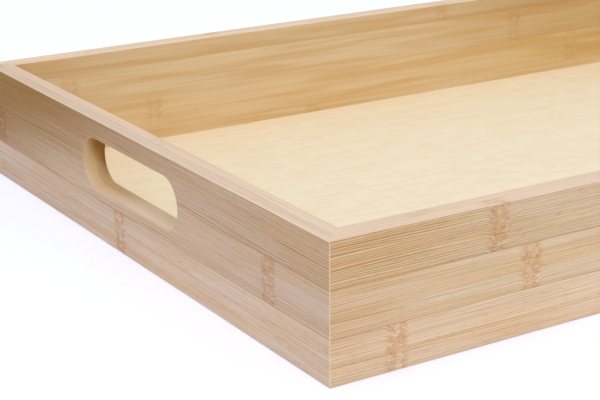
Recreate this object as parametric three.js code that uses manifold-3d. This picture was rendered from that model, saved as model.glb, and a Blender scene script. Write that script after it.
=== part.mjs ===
// Bamboo tray: four mitred boards of glued bamboo strips stand round a thin pressed-bamboo floor.
// Millimetres, +Z up. The origin is the middle of the underside, and +X runs along the long boards.
import * as THREE from 'three';
import { mergeVertices } from 'three/addons/utils/BufferGeometryUtils.js';
import Module from 'manifold-3d';

const wasm = await Module();
wasm.setup();

// Overall sizes
const TRAY_LENGTH = 500;
const TRAY_WIDTH = 340;
const TRAY_HEIGHT = 60;

// Boards: an outer and an inner layer of edge-glued strips, with staggered glue lines
const OUTER_LAYER_THICKNESS = 5.8;
const INNER_LAYER_THICKNESS = 5.8;
const STRIP_WIDTH = 20;
const MITRE_GLUE_LINE = 0.2;

// Hand hole with round ends through each short board, below a web of bamboo
const HAND_HOLE_LENGTH = 96;
const HAND_HOLE_HEIGHT = 24.8;
const HAND_HOLE_WEB = 9.8;

// Floor panel of three plies, held a little off the ground
const FLOOR_RECESS = 1;
const BACK_VENEER_THICKNESS = 0.8;
const CORE_THICKNESS = 1.8;
const FACE_MAT_THICKNESS = 1.2;
const FLOOR_FIT = 0.3;

// Blind spline across each mitre, near the inside corner
const SPLINE_WIDTH = 6;
const SPLINE_THICKNESS = 2;
const SPLINE_COVER = 14;
const SPLINE_INSET = 2.2;
const SPLINE_FIT = 0.2;

// Headed pins that hold the floor panel up in its rebate
const PIN_SHANK_DIAMETER = 1.2;
const PIN_HEAD_DIAMETER = 2.6;
const PIN_HEAD_THICKNESS = 0.6;
const PIN_LENGTH = 7;
const PIN_POINT_LENGTH = 1.5;
const PIN_END_MARGIN = 40;
const PIN_FIT = 0.2;
const LONG_BOARD_PINS = 4;
const SHORT_BOARD_PINS = 3;

// How finely round shapes are drawn, and how far a cutter runs past a face
const HAND_HOLE_ARC_STEPS = 12;
const PIN_SIDES = 8;
const CUT_OVERRUN = 1;

// Finishes
const OUTER_STRIP_COLOURS = ['#d3ab7c', '#d9b68b', '#cfa878'];
const INNER_STRIP_COLOURS = ['#d4ad78', '#d2ac7c', '#d0aa80', '#c79f69'];
const FACE_MAT_COLOUR = '#efdcb8';
const CORE_COLOUR = '#d8bd8f';
const BACK_VENEER_COLOUR = '#e3cea3';
const SPLINE_COLOUR = '#c7a577';
const PIN_COLOUR = '#b4b4b0';
const BAMBOO = { roughness: 0.5, metalness: 0 };
const STEEL = { roughness: 0.35, metalness: 1 };

// Sizes that follow from the ones above
const boardThickness = OUTER_LAYER_THICKNESS + INNER_LAYER_THICKNESS;
const boardMiddle = TRAY_HEIGHT / 2;
const mitreSetback = MITRE_GLUE_LINE / Math.SQRT2;
const handHoleRadius = HAND_HOLE_HEIGHT / 2;
const handHoleMiddle = TRAY_HEIGHT - HAND_HOLE_WEB - handHoleRadius;
const coreBottom = FLOOR_RECESS + BACK_VENEER_THICKNESS;
const floorTop = coreBottom + CORE_THICKNESS + FACE_MAT_THICKNESS;
const splineHeight = TRAY_HEIGHT - 2 * SPLINE_COVER;
const splineOffset = (SPLINE_INSET + SPLINE_THICKNESS / 2) / Math.SQRT2;
const pinDepth = OUTER_LAYER_THICKNESS + INNER_LAYER_THICKNESS / 2;
const pinTip = coreBottom + PIN_LENGTH;

// Each board has its own frame: x along the board, y from its outer face inwards, z up.
// ends names what lies at the board's -x and +x ends.
const BOARDS = [
  {
    name: 'front',
    length: TRAY_LENGTH,
    turn: 0,
    origin: new THREE.Vector3(0, -TRAY_WIDTH / 2, 0),
    ends: ['left', 'right'],
    pinCount: LONG_BOARD_PINS,
    hasHandHole: false,
  },
  {
    name: 'right',
    length: TRAY_WIDTH,
    turn: Math.PI / 2,
    origin: new THREE.Vector3(TRAY_LENGTH / 2, 0, 0),
    ends: ['front', 'back'],
    pinCount: SHORT_BOARD_PINS,
    hasHandHole: true,
  },
  {
    name: 'back',
    length: TRAY_LENGTH,
    turn: Math.PI,
    origin: new THREE.Vector3(0, TRAY_WIDTH / 2, 0),
    ends: ['right', 'left'],
    pinCount: LONG_BOARD_PINS,
    hasHandHole: false,
  },
  {
    name: 'left',
    length: TRAY_WIDTH,
    turn: -Math.PI / 2,
    origin: new THREE.Vector3(-TRAY_LENGTH / 2, 0, 0),
    ends: ['back', 'front'],
    pinCount: SHORT_BOARD_PINS,
    hasHandHole: true,
  },
];

// Edges are the heights of a layer's lower edge, its glue lines and the rim. Full strips lie about the
// middle of the board, and the strips at the edges are sawn to what is left. The inner layer stops at the
// floor's top face, which leaves the rebate that the floor sits in. The hand hole takes the whole width of
// one inner strip, so that strip is laid as two lengths, one to each side of the hole.
const LAYERS = [
  {
    name: 'outer',
    depthFrom: 0,
    depthTo: OUTER_LAYER_THICKNESS,
    edges: [0, boardMiddle - STRIP_WIDTH / 2, boardMiddle + STRIP_WIDTH / 2, TRAY_HEIGHT],
    partsAtHandHole: false,
    colours: OUTER_STRIP_COLOURS,
  },
  {
    name: 'inner',
    depthFrom: OUTER_LAYER_THICKNESS,
    depthTo: boardThickness,
    edges: [floorTop, boardMiddle - STRIP_WIDTH, boardMiddle, boardMiddle + STRIP_WIDTH, TRAY_HEIGHT],
    partsAtHandHole: true,
    colours: INNER_STRIP_COLOURS,
  },
];

// Floor plies from the underside up, each with the width of pin that passes through it
const PLIES = [
  {
    name: 'floor_back_veneer',
    thickness: BACK_VENEER_THICKNESS,
    pinDiameter: PIN_HEAD_DIAMETER,
    colour: BACK_VENEER_COLOUR,
  },
  {
    name: 'floor_core',
    thickness: CORE_THICKNESS,
    pinDiameter: PIN_SHANK_DIAMETER,
    colour: CORE_COLOUR,
  },
  {
    name: 'floor_face_mat',
    thickness: FACE_MAT_THICKNESS,
    pinDiameter: PIN_SHANK_DIAMETER,
    colour: FACE_MAT_COLOUR,
  },
];

// A closed geometry as a solid that can be cut.
function solidFrom(geometry) {
  geometry.deleteAttribute('normal');
  geometry.deleteAttribute('uv');
  const merged = mergeVertices(geometry);
  const mesh = new wasm.Mesh({
    numProp: 3,
    vertProperties: merged.attributes.position.array,
    triVerts: new Uint32Array(merged.index.array),
  });
  return new wasm.Manifold(mesh);
}

// A cut solid as a geometry again.
function geometryFrom(solid) {
  const { vertProperties, triVerts } = solid.getMesh();
  const geometry = new THREE.BufferGeometry();
  geometry.setAttribute('position', new THREE.BufferAttribute(vertProperties, 3));
  geometry.setIndex(new THREE.BufferAttribute(triVerts, 1));
  geometry.computeVertexNormals();
  return geometry;
}

function joined(solids) {
  return solids.reduce((whole, solid) => whole.add(solid));
}

function finishedMesh(name, geometry, finish, colour) {
  const mesh = new THREE.Mesh(geometry, new THREE.MeshStandardMaterial({ ...finish, color: colour }));
  mesh.name = name;
  return mesh;
}

// An uncut strip along the board: a plan with mitred ends, carried up from one edge to the next.
// A half strip stops square at the middle of the board: side is -1 or +1 for a half, and 0 for the whole.
function stripBlank(boardLength, layer, bottom, top, side) {
  const outerReach = boardLength / 2 - layer.depthFrom - mitreSetback;
  const innerReach = boardLength / 2 - layer.depthTo - mitreSetback;
  const low = side > 0 ? 0 : -1;
  const high = side < 0 ? 0 : 1;
  const plan = new THREE.Shape();
  plan.moveTo(low * outerReach, layer.depthFrom);
  plan.lineTo(high * outerReach, layer.depthFrom);
  plan.lineTo(high * innerReach, layer.depthTo);
  plan.lineTo(low * innerReach, layer.depthTo);
  const geometry = new THREE.ExtrudeGeometry(plan, { depth: top - bottom, bevelEnabled: false });
  geometry.translate(0, 0, bottom);
  return solidFrom(geometry);
}

// The hand hole's outline stands in the board's length and height, and runs right through its thickness.
function handHoleCutter() {
  const arcCentre = HAND_HOLE_LENGTH / 2 - handHoleRadius;
  const outline = new THREE.Shape();
  outline.absarc(arcCentre, handHoleMiddle, handHoleRadius, -Math.PI / 2, Math.PI / 2);
  outline.absarc(-arcCentre, handHoleMiddle, handHoleRadius, Math.PI / 2, 3 * Math.PI / 2);
  const geometry = new THREE.ExtrudeGeometry(outline, {
    depth: boardThickness + 2 * CUT_OVERRUN,
    curveSegments: HAND_HOLE_ARC_STEPS,
    bevelEnabled: false,
  });
  geometry.rotateX(Math.PI / 2);
  geometry.translate(0, boardThickness + CUT_OVERRUN, 0);
  return solidFrom(geometry);
}

// Half of a spline's slot lies in each board's end, square to the mitre face.
function splineSlotCutter(boardLength, side) {
  const slot = new THREE.BoxGeometry(
    SPLINE_WIDTH + 2 * SPLINE_FIT,
    SPLINE_THICKNESS + 2 * SPLINE_FIT,
    splineHeight + 2 * SPLINE_FIT,
  );
  slot.rotateZ(side * Math.PI / 4);
  slot.translate(
    side * (boardLength / 2 - boardThickness + splineOffset),
    boardThickness - splineOffset,
    boardMiddle,
  );
  return solidFrom(slot);
}

function pinHoleCutter(x, y, diameter, bottom, top) {
  const radius = diameter / 2 + PIN_FIT;
  const hole = new THREE.CylinderGeometry(radius, radius, top - bottom, PIN_SIDES);
  hole.rotateX(Math.PI / 2);
  hole.translate(x, y, (bottom + top) / 2);
  return solidFrom(hole);
}

// Pin places along a board, evenly spaced from one end margin to the other.
function pinStations(board) {
  const reach = board.length / 2 - boardThickness - PIN_END_MARGIN;
  const pitch = 2 * reach / (board.pinCount - 1);
  return Array.from({ length: board.pinCount }, (_, index) => index * pitch - reach);
}

// Everything that is cut out of a board once its strips are glued.
function boardCutter(board) {
  const cutters = [splineSlotCutter(board.length, -1), splineSlotCutter(board.length, 1)];
  for (const station of pinStations(board)) {
    const bottom = floorTop - CUT_OVERRUN;
    cutters.push(pinHoleCutter(station, pinDepth, PIN_SHANK_DIAMETER, bottom, pinTip + PIN_FIT));
  }
  if (board.hasHandHole) {
    cutters.push(handHoleCutter());
  }
  return joined(cutters);
}

function stripMeshes(board, layer, cutter) {
  const meshes = [];
  for (let index = 0; index + 1 < layer.edges.length; index += 1) {
    const bottom = layer.edges[index];
    const top = layer.edges[index + 1];
    const name = `${board.name}_${layer.name}_strip_${index + 1}`;
    const meetsHandHole = bottom <= handHoleMiddle && handHoleMiddle < top;
    const lengths = board.hasHandHole && layer.partsAtHandHole && meetsHandHole
      ? [{ name: `${name}_${board.ends[0]}`, side: -1 }, { name: `${name}_${board.ends[1]}`, side: 1 }]
      : [{ name, side: 0 }];
    for (const length of lengths) {
      const blank = stripBlank(board.length, layer, bottom, top, length.side);
      const geometry = geometryFrom(blank.subtract(cutter));
      meshes.push(finishedMesh(length.name, geometry, BAMBOO, layer.colours[index]));
    }
  }
  return meshes;
}

// A pin with its head down: a flat head, a straight shank and a point, turned about the pin's own axis.
function pinGeometry() {
  const headRadius = PIN_HEAD_DIAMETER / 2;
  const shankRadius = PIN_SHANK_DIAMETER / 2;
  const profile = [
    new THREE.Vector2(0, -PIN_HEAD_THICKNESS),
    new THREE.Vector2(headRadius, -PIN_HEAD_THICKNESS),
    new THREE.Vector2(headRadius, 0),
    new THREE.Vector2(shankRadius, 0),
    new THREE.Vector2(shankRadius, PIN_LENGTH - PIN_POINT_LENGTH),
    new THREE.Vector2(0, PIN_LENGTH),
  ];
  const geometry = new THREE.LatheGeometry(profile, PIN_SIDES);
  geometry.rotateX(Math.PI / 2);
  return geometry;
}

function pinMeshes(board) {
  return pinStations(board).map((station, index) => {
    const mesh = finishedMesh(`floor_pin_${board.name}_${index + 1}`, pinGeometry(), STEEL, PIN_COLOUR);
    mesh.position.set(station, pinDepth, coreBottom);
    return mesh;
  });
}

function boardGroup(board) {
  const group = new THREE.Group();
  const cutter = boardCutter(board);
  for (const layer of LAYERS) {
    group.add(...stripMeshes(board, layer, cutter));
  }
  group.add(...pinMeshes(board));
  group.position.copy(board.origin);
  group.rotation.z = board.turn;
  return group;
}

// Where the pins of all four boards stand, in the tray's frame.
function pinPlaces() {
  const up = new THREE.Vector3(0, 0, 1);
  return BOARDS.flatMap((board) => pinStations(board).map((station) => {
    const place = new THREE.Vector3(station, pinDepth, 0);
    return place.applyAxisAngle(up, board.turn).add(board.origin);
  }));
}

function floorGroup() {
  const group = new THREE.Group();
  const length = TRAY_LENGTH - 2 * (OUTER_LAYER_THICKNESS + FLOOR_FIT);
  const width = TRAY_WIDTH - 2 * (OUTER_LAYER_THICKNESS + FLOOR_FIT);
  let bottom = FLOOR_RECESS;
  for (const ply of PLIES) {
    const top = bottom + ply.thickness;
    const sheet = new THREE.BoxGeometry(length, width, ply.thickness);
    sheet.translate(0, 0, (bottom + top) / 2);
    const holes = pinPlaces().map(({ x, y }) => (
      pinHoleCutter(x, y, ply.pinDiameter, bottom - CUT_OVERRUN, top + CUT_OVERRUN)
    ));
    const panel = solidFrom(sheet).subtract(joined(holes));
    group.add(finishedMesh(ply.name, geometryFrom(panel), BAMBOO, ply.colour));
    bottom = top;
  }
  return group;
}

function splineGroup() {
  const group = new THREE.Group();
  for (const [sideName, sideX] of [['left', -1], ['right', 1]]) {
    for (const [endName, sideY] of [['front', -1], ['back', 1]]) {
      const geometry = new THREE.BoxGeometry(SPLINE_WIDTH, SPLINE_THICKNESS, splineHeight);
      const name = `corner_spline_${endName}_${sideName}`;
      const spline = finishedMesh(name, geometry, BAMBOO, SPLINE_COLOUR);
      spline.position.set(
        sideX * (TRAY_LENGTH / 2 - boardThickness + splineOffset),
        sideY * (TRAY_WIDTH / 2 - boardThickness + splineOffset),
        boardMiddle,
      );
      spline.rotation.z = -sideX * sideY * Math.PI / 4;
      group.add(spline);
    }
  }
  return group;
}

const tray = new THREE.Group();
for (const board of BOARDS) {
  tray.add(boardGroup(board));
}
tray.add(floorGroup());
tray.add(splineGroup());

export default tray;
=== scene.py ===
"""Bamboo tray, dressed for the eye: lacquered strips, a pressed sliver floor, drawn pins and a
white studio."""
import math

import bpy
import numpy as np
from mathutils import Matrix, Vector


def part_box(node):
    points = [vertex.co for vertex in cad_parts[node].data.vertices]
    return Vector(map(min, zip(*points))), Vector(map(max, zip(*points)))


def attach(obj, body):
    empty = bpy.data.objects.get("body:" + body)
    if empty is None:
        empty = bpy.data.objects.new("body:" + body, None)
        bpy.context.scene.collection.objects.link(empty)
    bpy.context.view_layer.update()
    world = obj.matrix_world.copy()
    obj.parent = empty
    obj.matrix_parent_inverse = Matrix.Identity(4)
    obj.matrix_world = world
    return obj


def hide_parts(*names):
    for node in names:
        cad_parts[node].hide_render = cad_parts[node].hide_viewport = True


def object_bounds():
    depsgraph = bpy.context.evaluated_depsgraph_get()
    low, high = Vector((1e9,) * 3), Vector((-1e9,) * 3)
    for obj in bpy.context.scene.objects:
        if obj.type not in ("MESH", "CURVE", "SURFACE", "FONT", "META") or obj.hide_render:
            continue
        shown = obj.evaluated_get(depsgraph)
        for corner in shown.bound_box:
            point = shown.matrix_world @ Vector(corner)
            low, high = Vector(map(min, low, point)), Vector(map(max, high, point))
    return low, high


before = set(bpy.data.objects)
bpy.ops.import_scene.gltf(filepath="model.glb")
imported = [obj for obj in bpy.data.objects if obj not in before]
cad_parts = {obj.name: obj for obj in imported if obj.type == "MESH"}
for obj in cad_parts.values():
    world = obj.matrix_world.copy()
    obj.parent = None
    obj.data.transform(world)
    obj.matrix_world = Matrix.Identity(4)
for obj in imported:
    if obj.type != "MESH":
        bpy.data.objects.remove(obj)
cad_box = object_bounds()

MM = 0.001
TOUCHING = 1e-6

# Sizes of the solids: the tray's from the frame, the others as the part has them.
TRAY_LENGTH = cad_box[1][0] - cad_box[0][0]
TRAY_WIDTH = cad_box[1][1] - cad_box[0][1]
TRAY_HEIGHT = cad_box[1][2] - cad_box[0][2]
BOARD_THICKNESS = 11.6 * MM
LAYER_THICKNESS = 5.8 * MM
HOLE_LENGTH = 96.0 * MM
HOLE_HEIGHT = 24.8 * MM
HOLE_MIDDLE = 37.8 * MM
HOLED_BOARDS = ("left", "right")

# Edges: the rounds that the sander and the router leave, and the hairline at a glued mitre.
RIM_EASE = 0.4 * MM
FOOT_EASE = 0.4 * MM
CORNER_EASE = 0.3 * MM
CORNER_TURN = math.pi / 4
HOLE_EASE = {"outer": 0.6 * MM, "inner": 0.3 * MM}
MITRE_HAIRLINE = 0.01 * MM
EASE_STEPS = 6
HOLE_ARC_STEPS = 28
SMOOTH_UP_TO = math.radians(30.0)

# Pale wear on those rounds, from 0 to 1, which also paints a highlight where the eased edges catch
# the light. Hands lift the short boards, so their rims wear more. A face counts as the corner's or
# the hole's within these margins.
HOLE_WEAR_AND_HIGHLIGHT = 0.4
CORNER_WEAR_AND_HIGHLIGHT = 1.0
RIM_WEAR_AND_HIGHLIGHT = {"front": 0.25, "back": 0.25, "left": 0.7, "right": 0.7}
CORNER_MARGIN = 1.0 * MM
HOLE_MARGIN = 1.2 * MM

# Painted shade in the hand hole, darkening its cut towards the ends and upwards: how far from the
# hole's middle it starts, how high it starts at the outer face, how much lower at the inner face,
# and over what distance it grows to its full strength.
PAINTED_SHADE_START = 31.0 * MM
PAINTED_SHADE_FOOT = 43.0 * MM
PAINTED_SHADE_DROP = 20.0 * MM
PAINTED_SHADE_REACH = 12.0 * MM

# Floor mat: its slivers, the seams between them, and the stitch rows pressed into them. More
# widths are drawn than the floor takes.
SLIVER_WIDTHS = (5.5 * MM, 9.0 * MM)
SLIVER_DRAWS = 80
SLIVER_SEAM = 0.35 * MM
SEAM_DEPTH = 0.04 * MM
THREAD_SPACING = 15.0 * MM
THREAD_WIDTH = 0.9 * MM
THREAD_DENT = 0.03 * MM

# Pins: sides of the round, and the wire's profile from the domed head to the point.
PIN_SIDES = 24
PIN_RADII = np.array([0.45, 0.85, 1.15, 1.28, 1.3, 1.3, 1.22, 0.68, 0.6, 0.6, 0.35, 0.06]) * MM
PIN_HEIGHTS = np.array([0.0, 0.03, 0.1, 0.22, 0.36, 0.5, 0.58, 0.6, 0.7, 6.1, 6.9, 7.6]) * MM

# Photograph, taken to be 600 by 400 pixels: the pixel where the near foot of the tray lies, and
# how the tray is seen.
IMAGE_WIDTH = 600
IMAGE_HEIGHT = 400
NEAR_CORNER_PIXEL = (329.7, 388.7)
FOCAL_PIXELS = 1597.3
NEAR_CORNER_DISTANCE = 612.8 * MM
VIEW_AZIMUTH = math.radians(32.09)
VIEW_ELEVATION = math.radians(18.41)
VIEW_ROLL = math.radians(-0.44)
SENSOR_WIDTH_MM = 36.0
NEAREST_SEEN = 10.0 * MM

# Studio. The ground glows a little for the eye, and turns plain white between two distances from
# the tray, in metres. Each soft box has its size and place in metres, and its watts.
WORLD_LEVEL = 0.65
GROUND_HALF_SIZE = 6.0
GROUND_DROP = 0.1 * MM
GROUND_GLOW = 0.24
FADE_START = 1.0
FADE_END = 2.5
SOFT_BOXES = {
    "overhead_soft_box": (3.2, (-1.2, -0.6, 6.0), 101.0),
    "key_soft_box": (4.2, (-1.88, -4.04, 4.0), 70.0),
    "left_soft_box": (1.8, (-3.0, -1.8, 1.9), 6.0),
}

# Boards: turn about the vertical in degrees, and where the middle of the outer face stands.
BOARDS = {
    "front": (0.0, (0.0, cad_box[0][1])),
    "right": (90.0, (cad_box[1][0], 0.0)),
    "back": (180.0, (0.0, cad_box[1][1])),
    "left": (-90.0, (cad_box[0][0], 0.0)),
}
LENGTHS = {"front": TRAY_LENGTH, "back": TRAY_LENGTH, "left": TRAY_WIDTH, "right": TRAY_WIDTH}

# Strips that the photograph shows. First the low and the high end of the strip's axis, each with
# its colour and the strength of its fibre bundles; on some strips these colours carry painted light
# and shade, as said at them. Then where along that axis the one end turns into the other at the
# foot of the tray, and how far that place moves for each millimetre up. Then the strip's knots.
# Places are in millimetres from the middle of the tray.
SEEN_STRIPS = {
    "front_outer_strip_1": (
        ("#E6CAAF", 0.58), ("#ECD4BC", 0.42), (-250.0, -190.0, 0.0), (-218.5, 84.0)),
    "front_outer_strip_2": (
        ("#DEC09E", 0.55), ("#E4CCB1", 0.32), (-250.0, -190.0, 0.0), (-151.6, 173.0)),
    "front_outer_strip_3": (
        ("#D8B68C", 1.00), ("#DFC7AC", 0.50), (-240.0, -130.0, 0.0), (-169.0, 141.0)),
    "front_inner_strip_4": (
        ("#DCC0A0", 0.15), ("#DCC0A0", 0.15), (-250.0, 250.0, 0.0), (-202.0, 118.0)),
    "left_outer_strip_1": (
        ("#DEC8BA", 0.44), ("#CFB8AB", 0.15), (-100.0, 170.0, 0.0), (10.7,)),
    # Painted shadow: the far, upper end of the left board turns dark golden along a leaning edge,
    # on strips 2 and 3.
    "left_outer_strip_2": (
        ("#D1B9A8", 0.42), ("#997130", 0.15), (125.0, 325.0, -4.0), (-125.0, 152.3)),
    "left_outer_strip_3": (
        ("#C9AD97", 0.70), ("#997130", 0.15), (130.0, 350.0, -4.0), (162.7,)),
    # Painted shade: the left rim darkens towards its far end.
    "left_inner_strip_4": (
        ("#DCC0A0", 0.15), ("#BE9F80", 0.15), (-170.0, 170.0, 0.0), (-17.3,)),
    # Painted light and shade on the far wall's inner face: its upper strips are darker and darken
    # further towards the right, and the foot strip is painted lighter towards the right, against
    # the floor's shade.
    "back_inner_strip_1": (
        ("#E7CBA0", 0.10), ("#E8D1AB", 0.10), (0.0, 200.0, 0.0), (-46.8,)),
    "back_inner_strip_2": (
        ("#E7CBA0", 0.10), ("#DDBE86", 0.10), (0.0, 200.0, 0.0), (-154.9, 159.3)),
    "back_inner_strip_3": (
        ("#E5CCA6", 0.10), ("#D6B481", 0.10), (0.0, 160.0, 0.0), (109.0, -206.6)),
    "back_inner_strip_4": (
        ("#E0C49C", 0.10), ("#CDAB7B", 0.10), (0.0, 160.0, 0.0), (49.9, -237.4)),
}

# Any other strip takes two of its layer's tones, and two knots this many millimetres apart. Every
# strip takes its own place in the grain.
UNSEEN_TONES = {
    "outer": ("#E8CFB2", "#E3C8A9", "#DEC19B", "#DDC2A8", "#D4B088"),
    "inner": ("#E8CD9F", "#E1C7A0", "#E5C9A0", "#DBBC8C", "#D9B87A"),
}
KNOT_SPACING = (290.0, 340.0)
GRAIN_PLACES = (0.0, 20.0)
CHOICE_SEED = 11
choice = np.random.default_rng(CHOICE_SEED)


def linear(code):
    """An sRGB hex colour as linear red, green, blue and full alpha: a straight line for the darkest
    values and a power above them."""
    parts = np.array([int(code[i:i + 2], 16) for i in (1, 3, 5)]) / 255.0
    low = parts / 12.92
    high = ((parts + 0.055) / 1.055) ** 2.4
    return (*np.where(parts <= 0.04045, low, high).tolist(), 1.0)


def add(tree, kind, inputs=None, **settings):
    """One shader node with its settings. Each input is a value, or the socket that is linked to
    it."""
    node = tree.nodes.new(kind)
    for name, value in settings.items():
        setattr(node, name, value)
    for name, value in (inputs or {}).items():
        if isinstance(value, bpy.types.NodeSocket):
            tree.links.new(value, node.inputs[name])
        else:
            node.inputs[name].default_value = value
    return node


def blank_material(name):
    """A material with nothing in its node tree but the output."""
    material = bpy.data.materials.new(name)
    material.use_nodes = True
    tree = material.node_tree
    tree.nodes.clear()
    return material, tree, tree.nodes.new("ShaderNodeOutputMaterial")


# How strongly each finer step of detail shows in the grain.
GRAIN_ROUGHNESS = 0.6


def grain_noise(tree, place, layers, shift):
    """Noise drawn out along the grain. Each layer gives the width of its cells across the grain and
    their length along it in millimetres, and its detail."""
    noise = {}
    for layer, (width, length, detail) in layers.items():
        scale = (1.0 / (length * MM), 1.0 / (width * MM), 1.0 / (width * MM))
        spot = add(tree, "ShaderNodeVectorMath", {0: place, 1: scale, 2: shift},
                   operation="MULTIPLY_ADD").outputs[0]
        noise[layer] = add(tree, "ShaderNodeTexNoise",
                           {"Vector": spot, "Scale": 1.0, "Detail": detail,
                            "Roughness": GRAIN_ROUGHNESS}).outputs["Fac"]
    return noise


def nearest(tree, value, marks):
    """How far a value lies from the nearest of several marks: the least absolute difference."""
    least = None
    for mark in marks:
        gap = add(tree, "ShaderNodeMath", {0: value, 1: mark}, operation="SUBTRACT").outputs[0]
        gap = add(tree, "ShaderNodeMath", {0: gap}, operation="ABSOLUTE").outputs[0]
        if least is None:
            least = gap
        else:
            least = add(tree, "ShaderNodeMath", {0: least, 1: gap},
                        operation="MINIMUM").outputs[0]
    return least


def stained(tree, colour, stains):
    """The colour after each stain in turn. Where a stain's value passes from start to stop, its
    tint is blended over the colour, up to its strength."""
    for value, start, stop, strength, tint, blend in stains:
        amount = add(tree, "ShaderNodeMapRange",
                     {"Value": value, "From Min": start, "From Max": stop, "To Max": strength},
                     interpolation_type="SMOOTHSTEP").outputs[0]
        colour = add(tree, "ShaderNodeMix", {0: amount, 6: colour, 7: linear(tint)},
                     data_type="RGBA", blend_type=blend).outputs[2]
    return colour


# Grain of a strip: width and length of each layer's cells in millimetres, and its detail. The
# shift, in cells, is for one step of a strip's own place in the grain.
BAMBOO_LAYERS = {
    "fibre": (0.45, 60.0, 2.0),
    "bundle": (3.5, 90.0, 1.0),
    "streak": (1.4, 120.0, 2.0),
    "cloud": (5.0, 90.0, 1.0),
    "tick": (0.45, 6.0, 1.0),
    "loop": (1.1, 1.7, 1.0),
    "dash": (0.8, 2.3, 1.0),
    "mottle": (2.4, 3.5, 1.0),
}
GRAIN_SHIFT = (3.7, 1.9, 5.3)

# Real bamboo has fibre bundles as little as a third of a millimetre apart, and far finer fibres.
# Both are drawn coarser, so that they show. The sway is in radians of the bundles' sine.
BUNDLE_SPACING = 0.95 * MM
BUNDLE_SWAY = 20.0
LIGHT_BUNDLE_SHARE = 0.4
LEAST_CROWDED = 0.5

# Knots: how far their edge wanders, and how many cells a metre its noise has. Distances from a
# knot's middle at which its golden band starts and is full. How far out its columns of dark marks
# stand on both sides, and distances from there at which they start and are full. How far fibres
# bend in a knot, and how strong each kind of mark is.
KNOT_WANDER = 2.4 * MM
KNOT_WANDER_CELLS = (330.0, 420.0, 420.0)
KNOT_BAND = (7.5 * MM, 2.5 * MM)
KNOT_COLUMN_PLACE = 2.8 * MM
KNOT_COLUMN = (2.8 * MM, 0.6 * MM)
KNOT_SWAY = 1.2 * MM
KNOT_LOOPS = 0.36
KNOT_DASHES = 0.28
KNOT_GOLD = 0.46
KNOT_PALE = 0.12

# Rim: depths below the top at which its finish starts and is full, and the strength of its tone
# and of the lines on it. Glue lines: distances at which they start and are full, between strips and
# between the two layers, and the range of heights that has them.
RIM_DEPTHS = (0.5 * MM, 0.1 * MM)
RIM_STRENGTH = 0.66
RIM_LINES = 0.15
GLUE_LINE = (0.35 * MM, 0.10 * MM)
LAYER_LINE = (0.45 * MM, 0.10 * MM)
GLUE_HEIGHTS = (5.0 * MM, TRAY_HEIGHT - 1.0 * MM)

# Hand hole: places along it between which its cut turns from golden to pale with a painted sheen,
# and the strength of the cut's tone. Then the strength of the pale tone on worn edges, which is
# partly a painted highlight.
PAINTED_SHEEN_PLACES = (25.0 * MM, -5.0 * MM)
ROUTED_STRENGTH = 0.85
ARRIS_WEAR_AND_HIGHLIGHT_STRENGTH = 0.5

# Strengths and tones of the two layers of strips, and roughness over their fibres.
BUNDLE_STRENGTH = {"outer": 0.35, "inner": 0.1}
FIBRE_STRENGTH = {"outer": 0.22, "inner": 0.09}
STREAK_STRENGTH = {"outer": 0.35, "inner": 0.15}
TICK_STRENGTH = {"outer": 0.35, "inner": 0.06}
KNOT_STRENGTH = {"outer": 1.0, "inner": 0.45}
CLOUD_STRENGTH = {"outer": 0.6, "inner": 0.8}
GLUE_STRENGTH = {"outer": 0.6, "inner": 0.2}
CLOUD_TONES = {"outer": "#F9E9CC", "inner": "#F5E6CA"}
ROUTED_TONES = {"outer": "#DBBD92", "inner": "#CDAD7E"}
# Painted sheen: the pale tones that the hand hole's cut turns to towards its near end.
PAINTED_SHEEN_TONES = {"outer": "#DCC9AF", "inner": "#E0C8A7"}
RIM_TONE = "#EAD5C1"
# Pale tone of worn edges, partly a painted highlight.
ARRIS_WEAR_AND_HIGHLIGHT_TONE = "#F3E2CA"
# Painted shade at the hand hole's upper ends.
PAINTED_SHADE_TONE = "#B89550"
BAMBOO_ROUGHNESS = (0.52, 0.66)


def knot_bands(tree, local, along, knots, shift):
    """1 in the band about each knot, 1 in the columns of marks on both sides of its middle, and the
    place that the grain is drawn from, bent where it passes through a knot. The distance to the
    nearest knot is made uneven by a noise, so that a knot's edge wanders."""
    distance = nearest(tree, along, [knot * MM for knot in knots])
    spot = add(tree, "ShaderNodeVectorMath", {0: local, 1: KNOT_WANDER_CELLS, 2: shift},
               operation="MULTIPLY_ADD").outputs[0]
    wander = add(tree, "ShaderNodeTexNoise",
                 {"Vector": spot, "Scale": 1.0, "Detail": 1.0}).outputs
    uneven = add(tree, "ShaderNodeMath",
                 {0: wander["Fac"], 1: KNOT_WANDER, 2: -KNOT_WANDER / 2},
                 operation="MULTIPLY_ADD").outputs[0]
    distance = add(tree, "ShaderNodeMath", {0: distance, 1: uneven}, operation="ADD").outputs[0]
    band = add(tree, "ShaderNodeMapRange",
               {"Value": distance, "From Min": KNOT_BAND[0], "From Max": KNOT_BAND[1]},
               interpolation_type="SMOOTHSTEP").outputs[0]
    from_column = nearest(tree, distance, [KNOT_COLUMN_PLACE])
    column = add(tree, "ShaderNodeMapRange",
                 {"Value": from_column, "From Min": KNOT_COLUMN[0], "From Max": KNOT_COLUMN[1]},
                 interpolation_type="SMOOTHSTEP").outputs[0]
    sway = add(tree, "ShaderNodeMath", {0: band, 1: KNOT_SWAY}, operation="MULTIPLY").outputs[0]
    bent = add(tree, "ShaderNodeVectorMath", {0: wander["Color"], 1: sway, 2: local},
               operation="MULTIPLY_ADD").outputs[0]
    return band, column, bent


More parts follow.
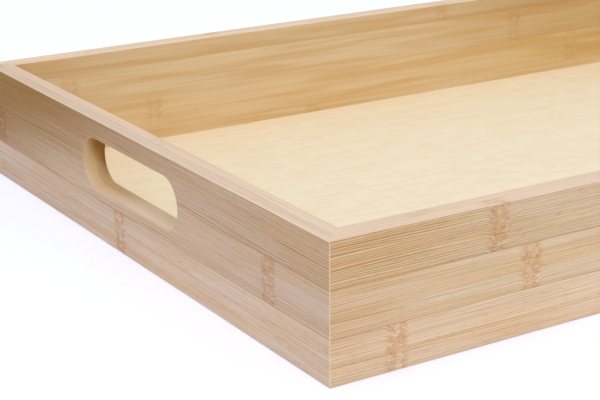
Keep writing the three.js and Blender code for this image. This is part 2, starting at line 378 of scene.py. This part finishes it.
def fibre_bundles(tree, bent, noise, strength):
    """Fibre bundles: a sine across the grain whose phase wanders, and how strong its dark and its
    light half are, which is more where the streaks are dark."""
    around = 2.0 * math.pi / BUNDLE_SPACING
    phase = add(tree, "ShaderNodeVectorMath", {0: bent, 1: (0.0, around, around)},
                operation="DOT_PRODUCT").outputs["Value"]
    phase = add(tree, "ShaderNodeMath", {0: noise["bundle"], 1: BUNDLE_SWAY, 2: phase},
                operation="MULTIPLY_ADD").outputs[0]
    bundle = add(tree, "ShaderNodeMath", {0: phase}, operation="SINE").outputs[0]
    crowded = add(tree, "ShaderNodeMapRange",
                  {"Value": noise["streak"], "From Min": 0.35, "From Max": 0.65,
                   "To Min": LEAST_CROWDED}).outputs[0]
    dark = add(tree, "ShaderNodeMath", {0: strength, 1: crowded}, operation="MULTIPLY").outputs[0]
    light = add(tree, "ShaderNodeMath", {0: dark, 1: LIGHT_BUNDLE_SHARE},
                operation="MULTIPLY").outputs[0]
    return bundle, dark, light


def lacquered_bamboo(name, ends, turning, along_y, knots, glue_lines, layer, layer_line, seed):
    """Carbonised bamboo, planed, edge-glued, sanded and sprayed with a thin satin lacquer that
    sinks between the fibres, so it reflects less than a full film. Bundles of brown fibre run along
    the strip as fine lines over broad golden and grey zones, and each knot crosses it as a golden
    band of small dark crescents."""
    knotty = KNOT_STRENGTH[layer]
    material, tree, output = blank_material(name)
    place = add(tree, "ShaderNodeTexCoord").outputs["Object"]
    turn = -math.pi / 2 if along_y else 0.0
    local = add(tree, "ShaderNodeMapping",
                {"Vector": place, "Rotation": (0.0, 0.0, turn)}).outputs["Vector"]
    axes = add(tree, "ShaderNodeSeparateXYZ", {"Vector": local}).outputs
    shift = tuple(step * seed for step in GRAIN_SHIFT)
    band, column, bent = knot_bands(tree, local, axes["X"], knots, shift)
    noise = grain_noise(tree, bent, BAMBOO_LAYERS, shift)

    # Knot marks: thin loops where a noise passes through its middle, broken by gaps, short dashes,
    # and golden and pale patches between them.
    kept = add(tree, "ShaderNodeMapRange",
               {"Value": noise["mottle"], "From Min": 0.42, "From Max": 0.56,
                "To Max": KNOT_LOOPS * knotty}, interpolation_type="SMOOTHSTEP").outputs[0]
    from_loop = nearest(tree, noise["loop"], [0.5])
    loops = add(tree, "ShaderNodeMath", {0: kept, 1: column}, operation="MULTIPLY").outputs[0]
    dashes = add(tree, "ShaderNodeMath", {0: column, 1: KNOT_DASHES * knotty},
                 operation="MULTIPLY").outputs[0]
    gold = add(tree, "ShaderNodeMath", {0: band, 1: KNOT_GOLD * knotty},
               operation="MULTIPLY").outputs[0]
    pale = add(tree, "ShaderNodeMath", {0: band, 1: KNOT_PALE * knotty},
               operation="MULTIPLY").outputs[0]

    # Faces at the rim show the planed edges of both layers: fine grain, and a glue line between.
    rim_start = TRAY_HEIGHT - RIM_DEPTHS[0]
    rim_full = TRAY_HEIGHT - RIM_DEPTHS[1]
    rim_lines = add(tree, "ShaderNodeMapRange",
                    {"Value": axes["Z"], "From Min": rim_start, "From Max": rim_full,
                     "To Max": RIM_LINES}).outputs[0]
    from_glue = nearest(tree, axes["Z"], glue_lines)
    from_layer = nearest(tree, axes["Y"], [layer_line])
    # Marks: worn edges, with a painted highlight, and painted shade at the hand hole's upper ends.
    arris_wear_and_highlight = add(tree, "ShaderNodeAttribute", attribute_name="arris_wear_and_highlight").outputs["Fac"]
    routed = add(tree, "ShaderNodeAttribute", attribute_name="routed").outputs["Fac"]
    painted_shade = add(tree, "ShaderNodeAttribute", attribute_name="painted_shade").outputs["Fac"]

    # Both ends of the strip, blended along it.
    (low_tone, low_bundle), (high_tone, high_bundle) = ends
    start, stop, lean = turning
    station = add(tree, "ShaderNodeVectorMath", {0: local, 1: (1.0, 0.0, -lean)},
                  operation="DOT_PRODUCT").outputs["Value"]
    drift = add(tree, "ShaderNodeMapRange",
                {"Value": station, "From Min": start * MM, "From Max": stop * MM},
                interpolation_type="SMOOTHSTEP").outputs[0]
    bundled = add(tree, "ShaderNodeMapRange",
                  {"Value": drift, "To Min": low_bundle, "To Max": high_bundle}).outputs[0]
    colour = add(tree, "ShaderNodeMix",
                 {0: drift, 6: linear(low_tone), 7: linear(high_tone)},
                 data_type="RGBA").outputs[2]

    # Stains over that colour, from the grain to knots, glue lines, cuts and wear, and painted light
    # and shade: a sheen along the hand hole's cut, shade at its upper ends and a highlight on worn
    # edges.
    bundle, dark_bundles, light_bundles = fibre_bundles(tree, bent, noise, bundled)
    colour = stained(tree, colour, [
        (noise["cloud"], 0.36, 0.66, CLOUD_STRENGTH[layer], CLOUD_TONES[layer], "MULTIPLY"),
        (noise["streak"], 0.44, 0.68, STREAK_STRENGTH[layer], "#E6DCD2", "MULTIPLY"),
        (noise["fibre"], 0.47, 0.62, FIBRE_STRENGTH[layer], "#BCAA95", "MULTIPLY"),
        (bundle, 0.0, 1.0, dark_bundles, "#D6C6B2", "MULTIPLY"),
        (bundle, 0.0, -1.0, light_bundles, "#F6E6CB", "MIX"),
        (noise["tick"], 0.60, 0.72, TICK_STRENGTH[layer], "#C8B29C", "MULTIPLY"),
        (axes["Z"], rim_start, rim_full, RIM_STRENGTH, RIM_TONE, "MIX"),
        (noise["fibre"], 0.45, 0.62, rim_lines, "#8A6A4A", "MULTIPLY"),
        (noise["mottle"], 0.25, 0.56, gold, "#F2D4B1", "MULTIPLY"),
        (noise["mottle"], 0.45, 0.33, pale, "#F3E4CE", "MIX"),
        (from_loop, 0.060, 0.015, loops, "#C4A482", "MULTIPLY"),
        (noise["dash"], 0.56, 0.66, dashes, "#B8946C", "MULTIPLY"),
        (from_glue, *GLUE_LINE, GLUE_STRENGTH[layer], "#CDB49A", "MULTIPLY"),
        (from_layer, *LAYER_LINE, rim_lines, "#D6BDA2", "MULTIPLY"),
        (routed, 0.0, 1.0, ROUTED_STRENGTH, ROUTED_TONES[layer], "MIX"),
        # A painted sheen pales the cut towards the hole's near end.
        (axes["X"], *PAINTED_SHEEN_PLACES, routed, PAINTED_SHEEN_TONES[layer], "MIX"),
        # Painted shade darkens the cut at the hole's upper ends.
        (painted_shade, 0.0, 1.0, routed, PAINTED_SHADE_TONE, "MULTIPLY"),
        # Worn edges, paler, with a painted highlight.
        (arris_wear_and_highlight, 0.0, 1.0, ARRIS_WEAR_AND_HIGHLIGHT_STRENGTH, ARRIS_WEAR_AND_HIGHLIGHT_TONE, "MIX"),
    ])
    rough = add(tree, "ShaderNodeMapRange",
                {"Value": noise["fibre"], "From Min": 0.3, "From Max": 0.7,
                 "To Min": BAMBOO_ROUGHNESS[0], "To Max": BAMBOO_ROUGHNESS[1]}).outputs[0]
    relief = add(tree, "ShaderNodeBump",
                 {"Height": noise["fibre"], "Strength": 0.25, "Distance": 0.06 * MM}).outputs[0]
    surface = add(tree, "ShaderNodeBsdfPrincipled",
                  {"Base Color": colour, "Roughness": rough, "IOR": 1.5,
                   "Specular IOR Level": 0.2, "Normal": relief})
    tree.links.new(surface.outputs[0], output.inputs["Surface"])
    return material


# Grain of veneers and splines, as for the strips, their finish, and the turns of their grain.
VENEER_LAYERS = {
    "fibre": (0.5, 45.0, 2.0),
    "streak": (2.0, 130.0, 2.0),
    "cloud": (9.0, 160.0, 1.0),
}
VENEER_SHIFT = (4.1, 8.3, 2.9)
VENEER_CLOUD_TONE = "#FAEBCF"
SANDED_ROUGHNESS = 0.6
RAW_ROUGHNESS = 0.75
GRAIN_ALONG = (0.0, 0.0, 0.0)
GRAIN_ACROSS = (0.0, 0.0, -math.pi / 2)
GRAIN_UPRIGHT = (0.0, math.pi / 2, 0.0)


def sliced_bamboo(name, tone, grain_turn, roughness):
    """Bamboo sliced or sawn thin and left without colour: straight fibres over broad paler and
    darker zones."""
    material, tree, output = blank_material(name)
    place = add(tree, "ShaderNodeTexCoord").outputs["Object"]
    local = add(tree, "ShaderNodeMapping",
                {"Vector": place, "Rotation": grain_turn}).outputs["Vector"]
    noise = grain_noise(tree, local, VENEER_LAYERS, VENEER_SHIFT)
    colour = add(tree, "ShaderNodeMix",
                 {0: noise["cloud"], 6: linear(tone), 7: linear(VENEER_CLOUD_TONE)},
                 data_type="RGBA", blend_type="MULTIPLY").outputs[2]
    colour = stained(tree, colour, [
        (noise["streak"], 0.42, 0.68, 0.4, "#E6DACA", "MULTIPLY"),
        (noise["fibre"], 0.46, 0.68, 0.5, "#D6C4AC", "MULTIPLY"),
    ])
    relief = add(tree, "ShaderNodeBump",
                 {"Height": noise["fibre"], "Strength": 0.4, "Distance": 0.08 * MM}).outputs[0]
    surface = add(tree, "ShaderNodeBsdfPrincipled",
                  {"Base Color": colour, "Roughness": roughness, "IOR": 1.5, "Normal": relief})
    tree.links.new(surface.outputs[0], output.inputs["Surface"])
    return material


# Grain of the floor mat, as for the strips. Each sliver lies up to this far off in it, in metres.
MAT_LAYERS = {"fibre": (0.8, 35.0, 2.0), "patch": (4.5, 17.0, 1.0)}
SLIVER_SHIFT = (7.0, 7.0, 7.0)
SLIVER_TONES = ("#F0E4CB", "#EFE2C6")
SLIVER_ROUGHNESS = (0.42, 0.56)
THREAD_LINE = (1.6 * MM, 0.3 * MM)


def pressed_slivers(name):
    """Pale bamboo slivers laid side by side, stitched, hot-pressed to a flat sheet and lacquered.
    Neighbouring slivers differ a little in tone, and the stitch rows press faint grey lines across
    them."""
    material, tree, output = blank_material(name)
    place = add(tree, "ShaderNodeTexCoord").outputs["Object"]
    sliver = add(tree, "ShaderNodeAttribute", attribute_name="sliver_tone").outputs["Fac"]
    lift = add(tree, "ShaderNodeCombineXYZ", {"X": sliver, "Z": sliver}).outputs[0]
    moved = add(tree, "ShaderNodeVectorMath", {0: lift, 1: SLIVER_SHIFT, 2: place},
                operation="MULTIPLY_ADD").outputs[0]
    noise = grain_noise(tree, moved, MAT_LAYERS, (0.0, 0.0, 0.0))
    along = add(tree, "ShaderNodeSeparateXYZ", {"Vector": place}).outputs["X"]
    from_row = add(tree, "ShaderNodeMath", {0: along, 1: THREAD_SPACING / 2},
                   operation="PINGPONG").outputs[0]
    colour = add(tree, "ShaderNodeMix",
                 {0: sliver, 6: linear(SLIVER_TONES[0]), 7: linear(SLIVER_TONES[1])},
                 data_type="RGBA").outputs[2]
    colour = stained(tree, colour, [
        (noise["patch"], 0.40, 0.65, 0.4, "#FAF1DE", "MULTIPLY"),
        (noise["fibre"], 0.50, 0.70, 0.05, "#EBDCC4", "MULTIPLY"),
        (from_row, *THREAD_LINE, 0.08, "#E6DDD0", "MULTIPLY"),
    ])
    rough = add(tree, "ShaderNodeMapRange",
                {"Value": noise["fibre"], "From Min": 0.3, "From Max": 0.7,
                 "To Min": SLIVER_ROUGHNESS[0], "To Max": SLIVER_ROUGHNESS[1]}).outputs[0]
    relief = add(tree, "ShaderNodeBump",
                 {"Height": noise["fibre"], "Strength": 0.2, "Distance": 0.05 * MM}).outputs[0]
    surface = add(tree, "ShaderNodeBsdfPrincipled",
                  {"Base Color": colour, "Roughness": rough, "IOR": 1.5, "Normal": relief})
    tree.links.new(surface.outputs[0], output.inputs["Surface"])
    return material


# Draw lines on the pins, in cells a metre: 0.2 mm wide and 2.5 mm long.
DRAW_LINE_CELLS = (5000.0, 5000.0, 400.0)
STEEL_TONES = ("#A5A4A1", "#C4C3BF")
STEEL_ROUGHNESS = (0.25, 0.5)


def drawn_steel(name):
    """Mild steel wire, drawn and headed cold: a grey metal with faint draw lines along the
    shank."""
    material, tree, output = blank_material(name)
    place = add(tree, "ShaderNodeTexCoord").outputs["Object"]
    spot = add(tree, "ShaderNodeVectorMath", {0: place, 1: DRAW_LINE_CELLS},
               operation="MULTIPLY").outputs[0]
    lines = add(tree, "ShaderNodeTexNoise",
                {"Vector": spot, "Scale": 1.0, "Detail": 2.0}).outputs["Fac"]
    colour = add(tree, "ShaderNodeMix",
                 {0: lines, 6: linear(STEEL_TONES[0]), 7: linear(STEEL_TONES[1])},
                 data_type="RGBA").outputs[2]
    rough = add(tree, "ShaderNodeMapRange",
                {"Value": lines, "To Min": STEEL_ROUGHNESS[0],
                 "To Max": STEEL_ROUGHNESS[1]}).outputs[0]
    surface = add(tree, "ShaderNodeBsdfPrincipled",
                  {"Base Color": colour, "Metallic": 1.0, "Roughness": rough})
    tree.links.new(surface.outputs[0], output.inputs["Surface"])
    return material


def skin(name, rings, material, node):
    """A closed skin over a stack of rings: quads join each point to the next one on its ring and to
    the same point on the next ring, and one flat face fills the first ring and the last."""
    stations, count, _ = rings.shape
    station, point = np.meshgrid(np.arange(stations - 1), np.arange(count), indexing="ij")
    following = (point + 1) % count
    near = station * count
    far = near + count
    quads = np.stack([near + point, far + point, far + following, near + following], -1)
    first = np.arange(count)
    last = first[::-1] + (stations - 1) * count
    faces = quads.reshape(-1, 4).tolist() + [first.tolist(), last.tolist()]
    mesh = bpy.data.meshes.new(name)
    mesh.from_pydata(rings.reshape(-1, 3).tolist(), [], faces)
    smooth = np.ones(len(mesh.polygons), dtype=bool)
    smooth[-2:] = False
    mesh.polygons.foreach_set("use_smooth", smooth)
    mesh.set_sharp_from_angle(angle=SMOOTH_UP_TO)
    mesh.materials.append(material)
    piece = bpy.data.objects.new(name, mesh)
    bpy.context.scene.collection.objects.link(piece)
    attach(piece, "root")
    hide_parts(node)
    return piece


def give_marks(piece, name, domain, values):
    """One number for each face or each point of a piece, which its material reads by name."""
    attribute = piece.data.attributes.new(name, "FLOAT", domain)
    attribute.data.foreach_set("value", values.astype(np.float32))


def eased(depth, radius):
    """How far a quarter-round has cut an edge back at each depth below the exposed face: the radius
    less the height of the circle there, and nothing below the radius."""
    inside = np.clip(radius - depth, 0.0, radius)
    return radius - np.sqrt(radius**2 - inside**2)


def quarter_depths(radius, turn):
    """Depths below the face at even steps of angle round a quarter-round, from the face to the
    given turn."""
    return radius * (1.0 - np.cos(np.linspace(0.0, turn, EASE_STEPS)))


def strip_outlines(reach, low, high, hole_radius, half):
    """The strip's outline at each depth: a rectangle less the hand hole. The hole's round ends are
    arcs between the heights where the strip's edges cut them. half is 0 for a whole strip, or 1 or
    -1 for the end of a parted one."""
    def corner(along, height):
        return np.stack([along, height], -1)[:, None, :]

    def arc(side, start, stop):
        angle = np.linspace(start, stop, HOLE_ARC_STEPS, axis=1)
        along = (HOLE_LENGTH - HOLE_HEIGHT) / 2 + hole_radius[:, None] * np.cos(angle)
        height = HOLE_MIDDLE + hole_radius[:, None] * np.sin(angle)
        return np.stack([side * along, height], -1)

    if hole_radius is None:
        rise_low = np.zeros_like(low)
        rise_high = np.zeros_like(low)
    else:
        rise_low = np.arcsin(np.clip((low - HOLE_MIDDLE) / hole_radius, -1.0, 1.0))
        rise_high = np.arcsin(np.clip((high - HOLE_MIDDLE) / hole_radius, -1.0, 1.0))
    if (rise_high == rise_low).all():
        parts = [corner(-reach, low), corner(reach, low), corner(reach, high),
                 corner(-reach, high)]
    elif half > 0:
        parts = [corner(reach, low), corner(reach, high), arc(1, rise_high, rise_low)]
    elif half < 0:
        parts = [corner(-reach, high), corner(-reach, low), arc(-1, rise_low, rise_high)]
    elif (rise_low <= -math.pi / 2).all():
        parts = [corner(-reach, low), corner(reach, low), corner(reach, high),
                 arc(1, rise_high, rise_low), arc(-1, rise_low, rise_high), corner(-reach, high)]
    else:
        parts = [corner(-reach, low), arc(-1, rise_low, rise_high), arc(1, rise_high, rise_low),
                 corner(reach, low), corner(reach, high), corner(-reach, high)]
    return np.concatenate(parts, axis=1)


def strip_bamboo(node, board, layer):
    """The strip's bamboo. A strip that the photograph shows has its colours and knots from the
    table, some of those colours with painted light and shade, and any other takes them by chance."""
    span = LENGTHS[board] / MM
    if node in SEEN_STRIPS:
        *ends, turning, knots = SEEN_STRIPS[node]
    else:
        tones = choice.choice(UNSEEN_TONES[layer], 2)
        ends = [(tone, BUNDLE_STRENGTH[layer]) for tone in tones]
        turning = (-span / 2, span / 2, 0.0)
        start = choice.uniform(-span / 2, span / 2)
        knots = (start, start - np.sign(start) * choice.uniform(*KNOT_SPACING))
    edges = [corner[2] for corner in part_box(node)]
    glue_lines = [height for height in edges if GLUE_HEIGHTS[0] < height < GLUE_HEIGHTS[1]]
    along_y = board in HOLED_BOARDS
    layer_line = LAYER_THICKNESS - (TRAY_LENGTH if along_y else TRAY_WIDTH) / 2
    if board in ("back", "left"):
        layer_line = -layer_line
    return lacquered_bamboo(f"carbonised_bamboo_lacquered_{node}", ends, turning, along_y, knots,
                            glue_lines, layer, layer_line, choice.uniform(*GRAIN_PLACES))


def mark_cuts(piece, board, layer, flat, inward, from_face):
    """What the tools did to a strip, and the light and shade painted on it. Side faces that the
    router cut are marked routed, and those that the sander wore next to the exposed face are marked
    as worn arrises, which also carry a painted highlight. Painted shade grows towards the ends of
    the hole and upwards, and starts lower further in."""
    hole_ease = HOLE_EASE[layer]
    beside = (flat + np.roll(flat, -1, axis=1)) / 2
    beside = (beside[1:] + beside[:-1]) / 2
    past_arc = np.maximum(np.abs(beside[..., 0]) - (HOLE_LENGTH - HOLE_HEIGHT) / 2, 0.0)
    from_edge = np.hypot(past_arc, beside[..., 1] - HOLE_MIDDLE) - HOLE_HEIGHT / 2
    by_hole = (board in HOLED_BOARDS) & (np.abs(from_edge) < HOLE_MARGIN)
    at_corner = np.abs(beside[..., 0]) > LENGTHS[board] / 2 - CORNER_MARGIN
    below_face = ((from_face[1:] + from_face[:-1]) / 2)[:, None]
    routed = by_hole & (below_face > hole_ease)
    # Wear on the eased edges, which also paints a highlight on them.
    rim_wear_and_highlight = np.where(at_corner, CORNER_WEAR_AND_HIGHLIGHT, RIM_WEAR_AND_HIGHLIGHT[board]) * (below_face < CORNER_EASE)
    wear_and_highlight = np.where(by_hole, HOLE_WEAR_AND_HIGHLIGHT * (below_face < hole_ease), rim_wear_and_highlight)
    for name, values in (("routed", routed), ("arris_wear_and_highlight", wear_and_highlight)):
        give_marks(piece, name, "FACE", np.concatenate([values.ravel(), [0.0, 0.0]]))

    # Painted shade in the hand hole, towards its ends and upwards.
    painted_shade_foot = PAINTED_SHADE_FOOT - PAINTED_SHADE_DROP * inward / BOARD_THICKNESS
    outwards = np.clip((np.abs(flat[..., 0]) - PAINTED_SHADE_START) / PAINTED_SHADE_REACH, 0.0, 1.0)
    upwards = np.clip((flat[..., 1] - painted_shade_foot) / PAINTED_SHADE_REACH, 0.0, 1.0)
    give_marks(piece, "painted_shade", "POINT", (outwards * upwards).ravel())


def lacquered_strip(node):
    """One glued strip, stacked in outlines through its thickness. Its ends follow the mitre, and
    the edges that show are cut back towards the exposed face by quarter-rounds: the rim, the foot,
    the tray's corner and the hand hole."""
    board, layer = node.split("_")[:2]
    box_low, box_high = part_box(node)
    turn, origin = BOARDS[board]
    turn = math.radians(turn)
    outer = layer == "outer"
    hole_ease = HOLE_EASE[layer]
    depth = np.concatenate([quarter_depths(RIM_EASE, math.pi / 2),
                            quarter_depths(hole_ease, math.pi / 2),
                            quarter_depths(CORNER_EASE, CORNER_TURN), [LAYER_THICKNESS]])
    depth = np.unique(np.round(depth, 8))
    from_face = depth if outer else depth[::-1]
    through = depth if outer else BOARD_THICKNESS - depth[::-1]
    mitre = np.maximum(through, eased(from_face, CORNER_EASE)) if outer else through
    reach = LENGTHS[board] / 2 - mitre - MITRE_HAIRLINE
    low = np.full_like(depth, box_low[2])
    high = np.full_like(depth, box_high[2])
    if high[0] > TRAY_HEIGHT - TOUCHING:
        high = high - eased(from_face, RIM_EASE)
    if low[0] < TOUCHING:
        low = low + eased(from_face, FOOT_EASE)
    hole_radius = None
    if board in HOLED_BOARDS:
        hole_radius = HOLE_HEIGHT / 2 + eased(from_face, hole_ease)

    # The hole parts the third inner strip, whose two lengths lie before and behind it.
    half = 0
    if "_strip_3_" in node:
        middle = (np.array(box_low) + np.array(box_high))[:2] / 2 - np.array(origin)
        half = 1 if middle @ np.array([math.cos(turn), math.sin(turn)]) > 0 else -1
    flat = strip_outlines(reach, low, high, hole_radius, half)
    along = flat[..., 0]
    inward = np.broadcast_to(through[:, None], along.shape)
    rings = np.stack([origin[0] + along * math.cos(turn) - inward * math.sin(turn),
                      origin[1] + along * math.sin(turn) + inward * math.cos(turn),
                      flat[..., 1]], -1)
    material = strip_bamboo(node, board, layer)
    piece = skin(f"lacquered_{node}", rings, material, node)
    mark_cuts(piece, board, layer, flat, inward, from_face)


def sliver_mat(node):
    """The floor's face: a section of slivers with a shallow seam between neighbours, carried along
    the tray and pressed a little lower at each stitch row."""
    low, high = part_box(node)
    widths = choice.uniform(*SLIVER_WIDTHS, SLIVER_DRAWS)
    seams = low[1] + np.cumsum(widths)
    seams = seams[seams < high[1] - SLIVER_WIDTHS[0]]
    edges = np.concatenate([[low[1]], seams, [high[1]]])
    middles = (edges[1:] + edges[:-1]) / 2
    across = np.concatenate([edges[:1], edges[-1:], seams - SLIVER_SEAM, seams,
                             seams + SLIVER_SEAM, middles])
    dip = np.concatenate([np.zeros(2 + len(seams)), np.full(len(seams), SEAM_DEPTH),
                          np.zeros(len(seams) + len(middles))])
    order = np.argsort(across)
    across = across[order]
    dip = dip[order]
    first_row = math.ceil(low[0] / THREAD_SPACING)
    last_row = math.floor(high[0] / THREAD_SPACING)
    rows = np.arange(first_row, last_row + 1) * THREAD_SPACING
    along = np.concatenate([[low[0], high[0]], rows - THREAD_WIDTH, rows, rows + THREAD_WIDTH])
    dent = np.concatenate([np.zeros(2 + len(rows)), np.full(len(rows), THREAD_DENT),
                           np.zeros(len(rows))])
    order = np.argsort(along)
    along = along[order]
    dent = dent[order]
    top = high[2] - np.maximum(dip[None, :], dent[:, None])
    section_y = np.concatenate([across, [high[1], low[1]]])
    stations = len(along)
    height = np.concatenate([top, np.full((stations, 2), low[2])], axis=1)
    rings = np.stack([np.broadcast_to(along[:, None], height.shape),
                      np.broadcast_to(section_y[None, :], height.shape), height], -1)
    material = pressed_slivers("bamboo_slivers_pressed_lacquered")
    piece = skin("pressed_sliver_mat", rings, material, node)

    # Each sliver's own tone, on its faces.
    tone = choice.uniform(0.0, 1.0, len(middles))
    sliver_of_face = np.searchsorted(seams, (section_y + np.roll(section_y, -1)) / 2)
    per_face = np.tile(tone[np.minimum(sliver_of_face, len(tone) - 1)], stations - 1)
    give_marks(piece, "sliver_tone", "FACE", np.concatenate([per_face, [tone[0], tone[-1]]]))


def drawn_pin(node, material):
    """A floor pin: a wire's profile of height and radius, from the domed head to the point, spun
    about its axis."""
    low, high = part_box(node)
    radius = PIN_RADII[:, None]
    height = low[2] + PIN_HEIGHTS / PIN_HEIGHTS[-1] * (high[2] - low[2])
    angle = -np.linspace(0.0, 2.0 * math.pi, PIN_SIDES, endpoint=False)
    middle = (np.array(low) + np.array(high)) / 2
    rings = np.stack([middle[0] + radius * np.cos(angle), middle[1] + radius * np.sin(angle),
                      np.broadcast_to(height[:, None], (len(height), PIN_SIDES))], -1)
    skin(f"drawn_{node}", rings, material, node)


def photo_camera():
    """A camera as far from the near foot as the photograph's perspective says, with that foot at
    its pixel."""
    forward = np.array([math.sin(VIEW_AZIMUTH) * math.cos(VIEW_ELEVATION),
                        math.cos(VIEW_AZIMUTH) * math.cos(VIEW_ELEVATION),
                        -math.sin(VIEW_ELEVATION)])
    level = np.array([math.cos(VIEW_AZIMUTH), -math.sin(VIEW_AZIMUTH), 0.0])
    above = np.cross(level, forward)
    right = math.cos(VIEW_ROLL) * level + math.sin(VIEW_ROLL) * above
    up = math.cos(VIEW_ROLL) * above - math.sin(VIEW_ROLL) * level
    aside = (NEAR_CORNER_PIXEL[0] - IMAGE_WIDTH / 2) / FOCAL_PIXELS * NEAR_CORNER_DISTANCE
    below = (NEAR_CORNER_PIXEL[1] - IMAGE_HEIGHT / 2) / FOCAL_PIXELS * NEAR_CORNER_DISTANCE
    near_foot = np.array([cad_box[0][0], cad_box[0][1], 0.0])
    eye = near_foot - aside * right + below * up - NEAR_CORNER_DISTANCE * forward
    pose = np.eye(4)
    pose[:3] = np.stack([right, up, -forward, eye], -1)
    lens = bpy.data.cameras.new("photo_camera")
    lens.sensor_fit = "HORIZONTAL"
    lens.sensor_width = SENSOR_WIDTH_MM
    lens.lens = FOCAL_PIXELS / IMAGE_WIDTH * SENSOR_WIDTH_MM
    lens.clip_start = NEAREST_SEEN
    camera = bpy.data.objects.new("photo_camera", lens)
    camera.matrix_world = Matrix(pose.tolist())
    bpy.context.scene.collection.objects.link(camera)
    bpy.context.scene.camera = camera


def soft_box(name, size, place, watts):
    """A square white soft box that faces the middle of the tray's underside: tilted from straight
    down by its angle to the vertical, and turned towards the middle."""
    lamp = bpy.data.lights.new(name, "AREA")
    lamp.size = size
    lamp.energy = watts
    holder = bpy.data.objects.new(name, lamp)
    holder.location = place
    aim = -np.array(place)
    tilt = math.acos(-aim[2] / np.linalg.norm(aim))
    holder.rotation_euler = (tilt, 0.0, math.atan2(-aim[0], aim[1]))
    bpy.context.scene.collection.objects.link(holder)


def seen_directly(tree):
    """1 for a ray from the camera, from a glossy surface or through glass, and 0 for the light that
    falls on things."""
    path = add(tree, "ShaderNodeLightPath").outputs
    direct = add(tree, "ShaderNodeMath", {0: path["Is Camera Ray"], 1: path["Is Glossy Ray"]},
                 operation="ADD").outputs[0]
    return add(tree, "ShaderNodeMath", {0: direct, 1: path["Is Transmission Ray"]},
               operation="ADD", use_clamp=True).outputs[0]


def paper_sweep():
    """White paper that the tray stands on: matt, with a faint shadow under the tray. The glow keeps
    it white to the eye, and far from the tray it is plain white."""
    material, tree, output = blank_material("white_paper_sweep")
    paper = add(tree, "ShaderNodeBsdfDiffuse", {"Color": linear("#F2F2F2")}).outputs[0]
    glow = add(tree, "ShaderNodeEmission",
               {"Color": linear("#ACC8FF"), "Strength": GROUND_GLOW}).outputs[0]
    lifted = add(tree, "ShaderNodeAddShader", {0: paper, 1: glow}).outputs[0]
    place = add(tree, "ShaderNodeTexCoord").outputs["Object"]
    away = add(tree, "ShaderNodeVectorMath", {0: place}, operation="LENGTH").outputs["Value"]
    faded = add(tree, "ShaderNodeMapRange",
                {"Value": away, "From Min": FADE_START, "From Max": FADE_END},
                interpolation_type="SMOOTHSTEP").outputs[0]
    blank = add(tree, "ShaderNodeEmission",
                {"Color": linear("#FFFFFF"), "Strength": 1.0}).outputs[0]
    sweep = add(tree, "ShaderNodeMixShader", {0: faded, 1: lifted, 2: blank}).outputs[0]
    seen = add(tree, "ShaderNodeMixShader", {0: seen_directly(tree), 1: paper, 2: sweep})
    tree.links.new(seen.outputs[0], output.inputs["Surface"])
    half = GROUND_HALF_SIZE
    corners = [(-half, -half, -GROUND_DROP), (half, -half, -GROUND_DROP),
               (half, half, -GROUND_DROP), (-half, half, -GROUND_DROP)]
    mesh = bpy.data.meshes.new("paper_sweep")
    mesh.from_pydata(corners, [], [(0, 1, 2, 3)])
    mesh.materials.append(material)
    ground = bpy.data.objects.new("paper_sweep", mesh)
    bpy.context.scene.collection.objects.link(ground)


def white_surroundings():
    """White all round to the eye, and a softer level of the same white as light on the tray."""
    world = bpy.data.worlds.new("white_surroundings")
    world.use_nodes = True
    tree = world.node_tree
    tree.nodes.clear()
    level = add(tree, "ShaderNodeMapRange",
                {"Value": seen_directly(tree), "To Min": WORLD_LEVEL, "To Max": 1.0}).outputs[0]
    sky = add(tree, "ShaderNodeBackground", {"Color": linear("#FFFFFF"), "Strength": level})
    add(tree, "ShaderNodeOutputWorld", {"Surface": sky.outputs[0]})
    bpy.context.scene.world = world


photo_camera()
paper_sweep()
white_surroundings()
for name, (size, place, watts) in SOFT_BOXES.items():
    soft_box(name, size, place, watts)

steel = drawn_steel("mild_steel_drawn")
for node in sorted(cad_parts):
    if "_strip_" in node:
        lacquered_strip(node)
    elif node.startswith("floor_pin_"):
        drawn_pin(node, steel)
sliver_mat("floor_face_mat")

# Solids that keep their shape and get a finish: two plies of the floor and the corner splines.
veneers = {
    "floor_back_veneer": sliced_bamboo("bamboo_veneer_sanded", "#E9D5AE", GRAIN_ALONG,
                                       SANDED_ROUGHNESS),
    "floor_core": sliced_bamboo("bamboo_veneer_raw", "#DFC69B", GRAIN_ACROSS, RAW_ROUGHNESS),
}
sawn = sliced_bamboo("bamboo_sawn_raw", "#D2B384", GRAIN_UPRIGHT, RAW_ROUGHNESS)
for node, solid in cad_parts.items():
    if node in veneers or node.startswith("corner_spline_"):
        solid.data.materials.clear()
        solid.data.materials.append(veneers.get(node, sawn))

bpy.context.scene.view_settings.view_transform = "Standard"
bpy.context.view_layer.update()
